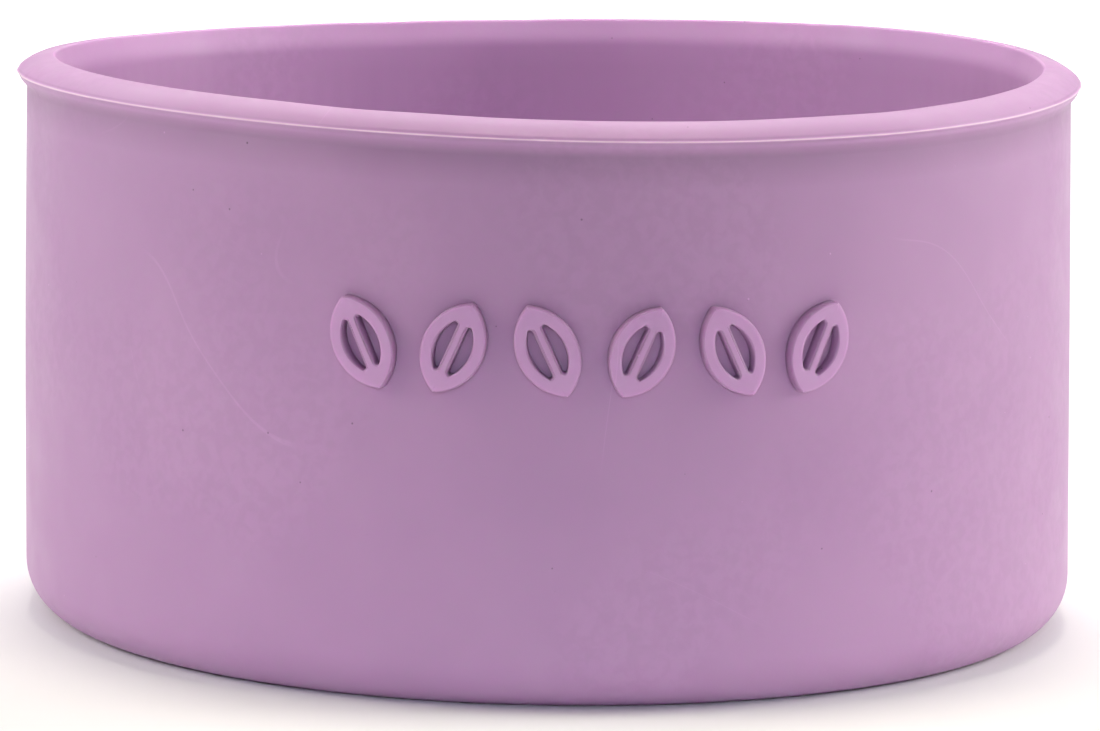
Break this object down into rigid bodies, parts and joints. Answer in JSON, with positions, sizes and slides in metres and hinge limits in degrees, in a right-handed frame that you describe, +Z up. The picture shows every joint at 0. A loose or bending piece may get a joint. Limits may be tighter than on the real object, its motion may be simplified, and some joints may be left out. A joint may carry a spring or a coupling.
{
  "type": "silicone cup",
  "caption": "Low straight-walled silicone cup with a flat floor, rounded base edge, beaded mouth and a row of raised leaves on its front.",
  "frame": {"origin": "centre of the flat base, on the surface that the cup stands on", "axes": "+Z up along the cup's axis, out of its mouth; the raised leaves are centred on -Y, the front"},
  "size_m": [0.081, 0.0814, 0.0425],
  "materials": {
    "silicone": "satin"
  },
  "bodies": {
    "root": {"floor": "silicone", "base_edge": "silicone", "side_wall": "silicone", "rim_bead": "silicone", "mark_leaf_1": "silicone", "mark_leaf_2": "silicone", "mark_leaf_3": "silicone", "mark_leaf_4": "silicone", "mark_leaf_5": "silicone", "mark_leaf_6": "silicone"}
  },
  "joints": []
}
